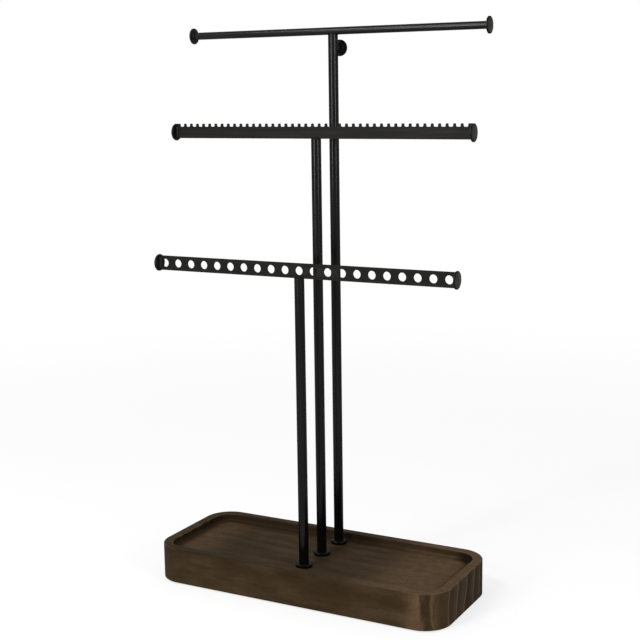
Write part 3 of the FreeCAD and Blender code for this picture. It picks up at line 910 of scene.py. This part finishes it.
def spun(name, profile, material, segments=72):
    """Spins a closed profile of (radius, height) in millimetres about Z. Returns a mesh."""
    builder = bmesh.new()
    ring = [builder.verts.new((point[0] * MM, 0, point[1] * MM)) for point in profile]
    edges = [builder.edges.new((a, b)) for a, b in zip(ring, ring[1:] + ring[:1])]
    bmesh.ops.spin(builder, geom=ring + edges, axis=(0, 0, 1), cent=(0, 0, 0),
                   steps=segments, angle=math.tau)
    bmesh.ops.remove_doubles(builder, verts=builder.verts, dist=SAME_PLACE)
    flat = [face for face in builder.faces if face.calc_area() < NO_AREA]
    bmesh.ops.delete(builder, geom=flat, context="FACES")
    bmesh.ops.recalc_face_normals(builder, faces=builder.faces)
    put_in_order(builder.verts, lambda vert: vert.co[:])
    put_in_order(builder.faces, lambda face: face.calc_center_median()[:])
    mesh = bpy.data.meshes.new(name)
    builder.to_mesh(mesh)
    builder.free()
    mesh.materials.append(material)
    shade_mesh(mesh)
    return mesh


def stand(name, mesh, matrix):
    """Puts a mesh in its place for good: the object itself stays at the origin."""
    placed = mesh.copy()
    placed.name = name
    placed.transform(matrix)
    piece = bpy.data.objects.new(name, placed)
    bpy.context.scene.collection.objects.link(piece)
    return piece


# %% [markdown]
# ## The posts
#
# Each post is a thin-walled tube. A saw leaves its ends square, and the coat rounds them over. A
# bevelled cylinder would look the same from afar, but the wall shows in the saddle, so the section
# of the wall is spun. That saddle, for the rod, is cut in the rear tube with a rod-shaped tool.

# %% Spin the three tubes
POST_WALL = 1.0
SAW_EASE = 0.35
SHOULDER_EASE = 0.9
BORE_EASE = 0.05


def tube_profile(length, top_ease):
    """Closed section of a tube, with its upper outer edge eased."""
    outer = POST_DIAMETER / 2
    inner = outer - POST_WALL
    corners = [(outer, 0), (outer, length), (inner, length), (inner, 0)]
    return eased(corners, [SAW_EASE, top_ease, BORE_EASE, BORE_EASE])


def make_post(tier, top_ease):
    """Spins one tube and stands it in the box of its post."""
    low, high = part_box(tier + "_post")
    length = (high.z - low.z) / MM
    mesh = spun(tier + "_tube", tube_profile(length, top_ease), post_coat)
    post = stand(tier + "_tube", mesh, Matrix.Translation((0, (low.y + high.y) / 2, low.z)))
    print(tier, "tube is", round(length, 1), "mm long")
    return post


front_tube = make_post("front", SAW_EASE)
middle_tube = make_post("middle", SAW_EASE)
rear_tube = make_post("rear", SHOULDER_EASE)

# %% Cut the saddle in the rear tube
rod_low, rod_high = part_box("necklace_bar")
rod_middle = (rod_low + rod_high) / 2
ROD_DIAMETER = (rod_high.z - rod_low.z) / MM


def cut_saddle(tube):
    """Cuts the shape of the rod out of the top of a tube."""
    radius, reach = ROD_DIAMETER / 2, POST_DIAMETER
    corners = [(0, -reach), (radius, -reach), (radius, reach), (0, reach)]
    tool_mesh = spun("saddle_tool", corners, post_coat)
    along_x = Matrix.Rotation(math.radians(90), 4, "Y")
    tool = stand("saddle_tool", tool_mesh, Matrix.Translation(rod_middle) @ along_x)
    cut = tube.modifiers.new("saddle", "BOOLEAN")
    cut.operation = "DIFFERENCE"
    cut.solver = "EXACT"
    cut.object = tool
    name = tube.name
    tube.name = name + "_uncut"
    result = settle(name, tube)
    bpy.data.objects.remove(tool)
    return result


rear_tube = cut_saddle(rear_tube)
for tube, tier in ((front_tube, "front"), (middle_tube, "middle"), (rear_tube, "rear")):
    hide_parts(tier + "_post")
    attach(tube, tier + "_tee")

# %% [markdown]
# ## The end caps
#
# Every bar ends in a round cap that stops jewellery from sliding off. A cap is a thin disc with a
# softly domed face and an eased rim. On the rod and the peg it has a narrow neck that flares into
# the disc. On the strips the back of the disc is flat, and two small cheeks grip the end of the
# strip. The profile of the disc is the same, so one function turns all seven. Another one marks
# where painted shade goes: a band along the front of the rim, which stands for a dark reflection,
# and, less, the back of the disc, where shade falls behind it.

# %% One cap
# The disc in millimetres: thickness of its edge, height of its dome, and how far its rim is rounded
# inwards. The front of the rim drops by a hair, so that it meets the dome in a soft line.
CAP_EDGE = 1.4
CAP_DOME = 0.8
RIM_INSET = 0.5
RIM_DROP = 0.05
RIM_FRONT_EASE, RIM_BACK_EASE = 0.42, 0.5
DOME_STEPS = 8

# The back of a cap, from the disc to the axis: radius, height and rounding of each corner.
STRIP_BACK = [(0, 0, 0)]
ROD_BACK = [(3.85, 0, 0.3), (3.55, -1.2, 0.4), (0, -1.2, 0)]

# Where the caps get painted shade, and how much: the front of the rim, from this far inside it and
# this high up, and the flat back of the disc, up to this far from the rim.
RIM_BAND, RIM_BAND_Z, RIM_SHADE = 0.55, 0.6, 1.0
BACK_BAND, BACK_BAND_Z, BACK_SHADE = 0.3, 0.05, 0.7


def mark_painted_shade(mesh, radius):
    """Says in an attribute where a cap gets painted shade: a darker colour and less sheen."""
    starved = mesh.attributes.new("starved", "FLOAT", "POINT")
    for vert, value in zip(mesh.vertices, starved.data):
        from_axis = math.hypot(vert.co.x, vert.co.y) / MM
        if from_axis > radius - RIM_BAND and vert.co.z > RIM_BAND_Z * MM:
            value.value = RIM_SHADE
        elif from_axis < radius - BACK_BAND and vert.co.z < BACK_BAND_Z * MM:
            value.value = BACK_SHADE


def cap_mesh(name, radius, back):
    """A cap with its disc's inner face at height 0 and its dome upwards."""
    steps = [i / DOME_STEPS for i in range(DOME_STEPS)]
    dome = [((radius - RIM_INSET) * step, CAP_EDGE + CAP_DOME * (1 - step ** 2))
            for step in steps]
    disc = [(radius - RIM_INSET, CAP_EDGE, 0), (radius, CAP_EDGE - RIM_DROP, RIM_FRONT_EASE),
            (radius, 0, RIM_BACK_EASE)]
    rim = eased([corner[:2] for corner in disc + back], [corner[2] for corner in disc + back])
    mesh = spun(name, dome + rim, cap_coat, 64)
    mark_painted_shade(mesh, radius)
    return mesh


# %% [markdown]
# A strip is too thin to hold a cap on its end, so two small cheeks grip its faces. They are made as
# one drafted block that the strip runs into. Its edges are bevelled by themselves, because a Bevel
# on the whole cap would also round the disc a second time.

# %% Cheeks on the back of a strip's cap
CHEEK_THICKNESS = 0.75
CHEEK_HEIGHT = 8.9
CHEEK_DEPTH = 1.6
CHEEK_MIDDLE = -0.6
CHEEK_TAPER_ACROSS, CHEEK_TAPER_ALONG = 0.8, 0.92
CHEEK_EASE = 0.3


def add_cheeks(mesh):
    """Adds a drafted block behind the disc, which shows as a cheek on each face of the strip."""
    builder = bmesh.new()
    builder.from_mesh(mesh)
    verts = bmesh.ops.create_cube(builder, size=MM)["verts"]
    block = (STRIP_THICKNESS + 2 * CHEEK_THICKNESS, CHEEK_HEIGHT, CHEEK_DEPTH)
    bmesh.ops.scale(builder, vec=block, verts=verts)
    bmesh.ops.translate(builder, vec=(0, 0, CHEEK_MIDDLE * MM), verts=verts)
    for vert in verts:
        if vert.co.z < 0:
            vert.co.x *= CHEEK_TAPER_ACROSS
            vert.co.y *= CHEEK_TAPER_ALONG
    edges = [edge for edge in builder.edges if edge.verts[0] in verts and edge.verts[1] in verts]
    bmesh.ops.bevel(builder, geom=edges, offset=CHEEK_EASE * MM, segments=3, profile=0.5,
                    affect="EDGES", clamp_overlap=True)
    builder.to_mesh(mesh)
    builder.free()
    shade_mesh(mesh)


# %% Seven places
def facing(outward):
    """Turns +Z to point along an outward direction."""
    return Vector(outward).to_track_quat("Z", "Y").to_matrix().to_4x4()


def make_cap(node, body, outward, back):
    """Replaces one solid cap by one of the same diameter, with its tip at the same place."""
    low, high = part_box(node)
    outward = Vector(outward)
    middle = (low + high) / 2
    reach = abs((high - low).dot(outward)) / 2
    seat = middle + outward * (reach - (CAP_EDGE + CAP_DOME) * MM)
    place = Matrix.Translation(seat) @ facing(outward)
    radius = (high.z - low.z) / 2 / MM
    mesh = cap_mesh(node, radius, back)
    if back is STRIP_BACK:
        add_cheeks(mesh)
    cap = stand(node + "_turned", mesh, place)
    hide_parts(node)
    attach(cap, body)
    print(node, "is", round(2 * radius, 1), "mm across")


for bar, body, back in (("earring_bar", "front_tee", STRIP_BACK),
                        ("bracelet_bar", "middle_tee", STRIP_BACK),
                        ("necklace_bar", "rear_tee", ROD_BACK)):
    make_cap(bar + "_left_cap", body, (-1, 0, 0), back)
    make_cap(bar + "_right_cap", body, (1, 0, 0), back)
make_cap("rear_peg_cap", "rear_tee", (0, 1, 0), ROD_BACK)

# %% [markdown]
# ## Weld beads
#
# Each bar is welded to the top of its post. A weld is a row of small puddles of molten steel, each
# frozen half over the one before, and the coat blurs them without hiding them. The tree lays two
# arcs round the top of the tube, one on each side of the bar, and sets a flattened ball on every
# step along them, turned along the arc and a little uneven.

# %% Tree: puddles along two arcs
def tree_for_weld():
    """Flattened balls on every step of two arcs round the top of a tube."""
    writer, inputs = new_tree("weld_puddles", {
        "Arc Radius": float, "Half Gap": float, "Spacing": float, "Puddle Radius": float,
        "Place": Vector, "Material": bpy.types.Material})
    gap = inputs["Half Gap"]
    arc = writer.make("GeometryNodeCurveArc", {"mode": "RADIUS"}, {
        "Resolution": 32, "Radius": inputs["Arc Radius"], "Start Angle": gap,
        "Sweep Angle": math.pi - 2.0 * gap})
    other = writer.make("GeometryNodeTransform", {}, {"Geometry": arc,
                                                      "Rotation": (0, 0, math.pi)})
    arcs = writer.make("GeometryNodeJoinGeometry", {}, {"Geometry": [arc, other]})
    points = writer.make("GeometryNodeCurveToPoints", {"mode": "LENGTH"},
                         {"Curve": arcs, "Length": inputs["Spacing"]})
    puddle = writer.make("GeometryNodeMeshUVSphere", {}, {
        "Segments": 16, "Rings": 10, "Radius": inputs["Puddle Radius"]})
    uneven = writer.make("FunctionNodeRandomValue", {"data_type": "FLOAT_VECTOR"}, {
        "Min": (0.62, 0.92, 0.92), "Max": (0.80, 1.06, 1.06), "Seed": 5})
    beads = writer.make("GeometryNodeInstanceOnPoints", {}, {
        "Points": points, "Instance": puddle, "Rotation": points["Rotation"], "Scale": uneven})
    beads = writer.make("GeometryNodeSetShadeSmooth", {}, {"Geometry": beads})
    beads = writer.make("GeometryNodeTransform", {}, {"Geometry": beads,
                                                      "Translation": inputs["Place"]})
    return close_tree(writer, inputs, beads)


# %% Lay the welds
WELD_RADIUS = 2.9
HALF_GAP_DEGREES = 16
PUDDLE_SPACING = 0.62
PUDDLE_RADIUS = 0.85
PUDDLE_LIFT = 0.25

weld_tree = tree_for_weld()
for tier in ("front", "middle", "rear"):
    low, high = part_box(tier + "_weld_bead")
    bead = grow(tier + "_weld", weld_tree, {
        "Arc Radius": WELD_RADIUS * MM, "Half Gap": math.radians(HALF_GAP_DEGREES),
        "Spacing": PUDDLE_SPACING * MM, "Puddle Radius": PUDDLE_RADIUS * MM,
        "Place": Vector((0, (low.y + high.y) / 2, low.z + PUDDLE_LIFT * MM)),
        "Material": weld_coat})
    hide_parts(tier + "_weld_bead")
    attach(bead, tier + "_tee")

# %% [markdown]
# ## Pads and washers
#
# Four rubber pads sit in pockets under the corners, and a washer spreads the load of each screw.
# One pad and one washer are turned, and a tree sets copies in line: a line of two, and then two of
# those lines, makes the four corners.

# %% Tree: copies in line
def tree_for_copies():
    """Copies of the mesh that the tree is given, one step apart."""
    writer, inputs = new_tree("copies_in_line", {
        "Count": int, "First": Vector, "Step": Vector, "Material": bpy.types.Material})
    line = writer.make("GeometryNodeMeshLine", {"mode": "OFFSET"}, {
        "Count": inputs["Count"], "Start Location": inputs["First"], "Offset": inputs["Step"]})
    copies = writer.make("GeometryNodeInstanceOnPoints", {},
                         {"Points": line, "Instance": inputs["Geometry"]})
    return close_tree(writer, inputs, copies)


copy_tree = tree_for_copies()

# %% Four pads
PAD_DIAMETER = 14.0
# A shallow ring in the sole of the pad: radius and height of its four corners.
PAD_GROOVE = [(4.2, 0), (4.5, 0.45), (5.1, 0.45), (5.4, 0)]
GROOVE_EASE, SOLE_EASE, BACK_EASE = 0.1, 0.5, 0.15

pad_low, pad_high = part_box("foot_pads")
pad_thickness = (pad_high.z - pad_low.z) / MM
corners = [(0, 0), *PAD_GROOVE, (PAD_DIAMETER / 2, 0), (PAD_DIAMETER / 2, pad_thickness),
           (0, pad_thickness)]
radii = [0, *[GROOVE_EASE] * len(PAD_GROOVE), SOLE_EASE, BACK_EASE, 0]
pad = spun("pad", eased(corners, radii), rubber, 48)
across = Vector((pad_high.x - pad_low.x - PAD_DIAMETER * MM, 0, 0))
deep = Vector((0, pad_high.y - pad_low.y - PAD_DIAMETER * MM, 0))
pair = grow("pad_pair", copy_tree, {
    "Count": 2, "First": -across / 2, "Step": across, "Material": rubber}, pad)
pads = grow("rubber_pads", copy_tree, {
    "Count": 2, "First": Vector((0, 0, pad_low.z)) - deep / 2, "Step": deep,
    "Material": rubber}, pair.data)
bpy.data.objects.remove(pair)
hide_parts("foot_pads")
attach(pads, "base")

# %% Three washers
WASHER_BORE = 4.3
BORE_BOTTOM_EASE, RIM_BOTTOM_EASE, RIM_TOP_EASE, BORE_TOP_EASE = 0.1, 0.15, 0.3, 0.15

washer_low, washer_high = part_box("base_washers")
washer_diameter = (washer_high.x - washer_low.x) / MM
washer_thickness = (washer_high.z - washer_low.z) / MM
corners = [(WASHER_BORE / 2, 0), (washer_diameter / 2, 0),
           (washer_diameter / 2, washer_thickness), (WASHER_BORE / 2, washer_thickness)]
radii = [BORE_BOTTOM_EASE, RIM_BOTTOM_EASE, RIM_TOP_EASE, BORE_TOP_EASE]
washer = spun("washer", eased(corners, radii), zinc, 48)
first = Vector((0, washer_low.y + washer_diameter / 2 * MM, washer_low.z))
spacing = Vector((0, (washer_high.y - washer_low.y - washer_diameter * MM) / 2, 0))
washers = grow("plated_washers", copy_tree, {
    "Count": 3, "First": first, "Step": spacing, "Material": zinc}, washer)
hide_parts("base_washers")
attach(washers, "base")

# %% [markdown]
# ## Floor and light
#
# The stand is shown on a plain pale floor. Camera and mirror rays see the floor and the sky as the
# same soft white, and the other rays see them at a plain level, so that a colour renders about as
# it is written. Near the stand the floor's own matt colour shows through and keeps the shadow.

# %% The pale floor
FLOOR_REACH = 12.0
FLOOR_COLOUR = (0.86, 0.86, 0.86, 1)
WHITE = (1, 1, 1, 1)
# How much of the floor glows white near the stand, and the metres over which that becomes all.
GLOW_NEAR = 0.72
GLOW_FADE = (0.35, 1.3)


def seen_directly(writer):
    """1 for rays from the camera, a mirror or glass, and 0 for the rest."""
    rays = writer.make("ShaderNodeLightPath")
    return rays["Is Camera Ray"].most(rays["Is Glossy Ray"]).most(rays["Is Transmission Ray"])


def make_floor():
    """A wide matt floor that fades to white away from the stand."""
    builder = bmesh.new()
    bmesh.ops.create_grid(builder, x_segments=1, y_segments=1, size=FLOOR_REACH)
    mesh = bpy.data.meshes.new("floor")
    builder.to_mesh(mesh)
    builder.free()
    floor = bpy.data.objects.new("floor", mesh)
    bpy.context.scene.collection.objects.link(floor)
    material = bpy.data.materials.new("pale_floor")
    writer = empty_tree(material)
    matt = writer.make("ShaderNodeBsdfDiffuse", {}, {"Color": FLOOR_COLOUR})
    glow = writer.make("ShaderNodeEmission", {}, {"Color": WHITE, "Strength": 1.0})
    spot = writer.make("ShaderNodeTexCoord")["Object"]
    distance = writer.make("ShaderNodeVectorMath", {"operation": "LENGTH"}, {0: spot})["Value"]
    share = GLOW_NEAR + (1 - GLOW_NEAR) * distance.fade(*GLOW_FADE)
    glowing = seen_directly(writer) * share
    shader = writer.make("ShaderNodeMixShader", {}, {0: glowing, 1: matt, 2: glow})
    writer.make("ShaderNodeOutputMaterial", {}, {"Surface": shader})
    mesh.materials.append(material)
    return floor


make_floor()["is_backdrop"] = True

# %% The white surroundings
SKY_LEVEL = 0.66

world = bpy.data.worlds.new("studio")
writer = empty_tree(world)
white = writer.make("ShaderNodeBackground", {}, {"Color": WHITE, "Strength": 1.0})
level = writer.make("ShaderNodeBackground", {}, {"Color": WHITE, "Strength": SKY_LEVEL})
sky = writer.make("ShaderNodeMixShader", {}, {0: seen_directly(writer), 1: level, 2: white})
writer.make("ShaderNodeOutputWorld", {}, {"Surface": sky})
bpy.context.scene.world = world

# %% [markdown]
# Two tall soft boxes, one to the left and one to the right of the stand, draw the two upright lines
# of sheen on every post. A third one, wide and high up, draws the long line of sheen on the rod and
# lights the floor of the tray.

# %% Soft boxes
AIM_HEIGHT = 0.2


def soft_box(name, azimuth, height, distance, size, power):
    """A rectangular lamp, aimed at the stand. Metres and watts, and degrees from the front."""
    lamp = bpy.data.lights.new(name, "AREA")
    lamp.shape = "RECTANGLE"
    lamp.size, lamp.size_y = size
    lamp.energy = power
    angle = math.radians(azimuth)
    place = Vector((math.sin(angle) * distance, -math.cos(angle) * distance, height))
    aim = Vector((0, 0, AIM_HEIGHT)) - place
    light = bpy.data.objects.new(name, lamp)
    light.matrix_world = Matrix.Translation(place) @ facing(-aim)
    bpy.context.scene.collection.objects.link(light)
    print(name, "gives", power, "W from", round(aim.length, 2), "m")


soft_box("left_box", azimuth=-19, height=0.62, distance=1.5, size=(0.26, 0.60), power=10)
soft_box("right_box", azimuth=68, height=0.64, distance=1.5, size=(0.22, 0.55), power=8)
soft_box("top_box", azimuth=-22, height=1.38, distance=1.15, size=(0.84, 0.22), power=13)

# %% [markdown]
# ## The camera
#
# The camera looks from the front and the right, a metre away and a little higher than the strip
# with notches, through a short telephoto lens. It is set by its heading, its dip and a slight roll.

# %% Place the camera
CAMERA_PLACE = (0.48578, -0.89317, 0.40604)
LENS_MM, SENSOR_MM = 71.77, 36.0
HEADING, DIP, ROLL = (math.radians(degrees) for degrees in (28.370, -10.080, -0.806))

forward = Vector((-math.sin(HEADING) * math.cos(DIP), math.cos(HEADING) * math.cos(DIP),
                  math.sin(DIP)))
right = Vector((math.cos(HEADING), math.sin(HEADING), 0))
up = right.cross(forward)
rolled_right = right * math.cos(ROLL) + up * math.sin(ROLL)
rolled_up = up * math.cos(ROLL) - right * math.sin(ROLL)

lens = bpy.data.cameras.new("camera")
lens.lens = LENS_MM
lens.sensor_width = SENSOR_MM
camera = bpy.data.objects.new("camera", lens)
turn = Matrix((rolled_right, rolled_up, -forward)).transposed().to_4x4()
camera.matrix_world = Matrix.Translation(CAMERA_PLACE) @ turn
print("camera is", round(Vector(CAMERA_PLACE).length, 2), "m from the middle of the tray")
bpy.context.scene.collection.objects.link(camera)
bpy.context.scene.camera = camera
bpy.context.scene.view_settings.view_transform = "Standard"

# %% [markdown]
# ## Measure
#
# The dressed stand has to be as large as the imported model, so its size is printed.

# %% Measure
low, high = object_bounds()
print("dressed size in mm:", [round(side / MM, 2) for side in high - low])
